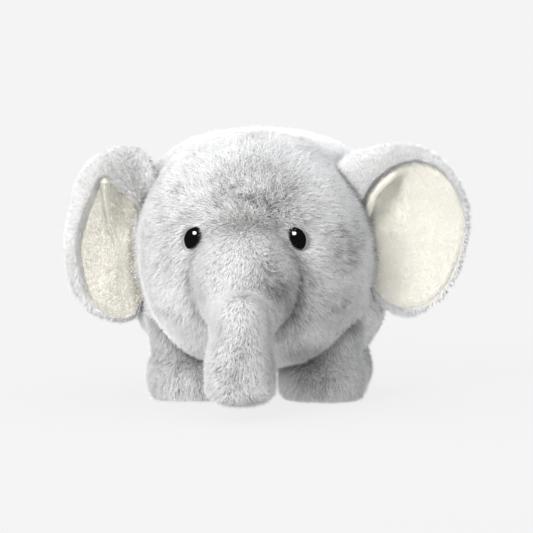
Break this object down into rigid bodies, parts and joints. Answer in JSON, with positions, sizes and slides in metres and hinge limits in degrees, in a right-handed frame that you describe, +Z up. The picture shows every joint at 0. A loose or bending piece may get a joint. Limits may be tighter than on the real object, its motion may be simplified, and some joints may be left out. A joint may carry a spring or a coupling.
{
  "type": "stuffed elephant",
  "caption": "Soft toy elephant in long grey fur fabric, standing on four stubby legs, with floppy cream-lined ears, a hanging trunk and embroidered eyes.",
  "frame": {"origin": "centre of the toy's own box, on the floor that its soles rest on", "axes": "+Z up, -Y the way the elephant faces, +X to the elephant's own left"},
  "size_m": [0.3736, 0.3536, 0.239],
  "materials": {
    "fur": "long soft pile, two-tone grey",
    "lining": "short smooth pile, cream",
    "stuffing": "loose polyester fibre, matt",
    "black_thread": "satin-stitch thread",
    "white_thread": "satin-stitch thread",
    "sewing_thread": "matt thread"
  },
  "bodies": {
    "torso": {"body_left_panel": "fur", "body_right_panel": "fur", "belly_panel": "fur", "body_filling": "stuffing", "closing_stitches": "sewing_thread", "head_left_panel": "fur", "head_right_panel": "fur", "forehead_gusset": "fur", "head_filling": "stuffing", "left_eye": "black_thread", "left_eye_highlight": "white_thread", "right_eye": "black_thread", "right_eye_highlight": "white_thread", "muzzle_cover": "fur", "muzzle_filling": "stuffing", "front_left_leg_cover": "fur", "front_left_leg_filling": "stuffing", "front_left_sole": "fur", "front_right_leg_cover": "fur", "front_right_leg_filling": "stuffing", "front_right_sole": "fur", "hind_left_leg_cover": "fur", "hind_left_leg_filling": "stuffing", "hind_left_sole": "fur", "hind_right_leg_cover": "fur", "hind_right_leg_filling": "stuffing", "hind_right_sole": "fur"},
    "left_ear": {"left_ear_back": "fur", "left_ear_wadding": "stuffing", "left_ear_lining": "lining"},
    "right_ear": {"right_ear_back": "fur", "right_ear_wadding": "stuffing", "right_ear_lining": "lining"},
    "trunk": {"trunk_cover": "fur", "trunk_filling": "stuffing"},
    "trunk_tip": {"trunk_tip_cover": "fur", "trunk_tip_filling": "stuffing"},
    "tail": {"tail_cover": "fur", "tail_filling": "stuffing"}
  },
  "joints": [
    {"name": "left_ear_flop", "type": "hinge", "parent": "torso", "child": "left_ear", "pos_m": [0.08269, -0.0042, 0.139], "axis": [-0.1999, -0.2756, 0.9403], "range_deg": [-30, 25], "stiffness_Nm_per_rad": 0.04},
    {"name": "right_ear_flop", "type": "hinge", "parent": "torso", "child": "right_ear", "pos_m": [-0.09331, -0.0042, 0.139], "axis": [-0.1999, 0.2756, -0.9403], "range_deg": [-40, 15], "stiffness_Nm_per_rad": 0.04},
    {"name": "trunk_lift", "type": "hinge", "parent": "torso", "child": "trunk", "pos_m": [-0.00531, -0.1382, 0.078], "axis": [-1, 0, 0], "range_deg": [-12, 50], "stiffness_Nm_per_rad": 0.03},
    {"name": "trunk_tip_sway", "type": "hinge", "parent": "trunk", "child": "trunk_tip", "pos_m": [-0.00531, -0.1492, 0.045], "axis": [0, 1, 0], "range_deg": [-25, 25], "stiffness_Nm_per_rad": 0.02},
    {"name": "tail_swing", "type": "hinge", "parent": "torso", "child": "tail", "pos_m": [-0.00531, 0.1538, 0.16], "axis": [0, 1, 0], "range_deg": [-35, 35], "stiffness_Nm_per_rad": 0.002}
  ]
}
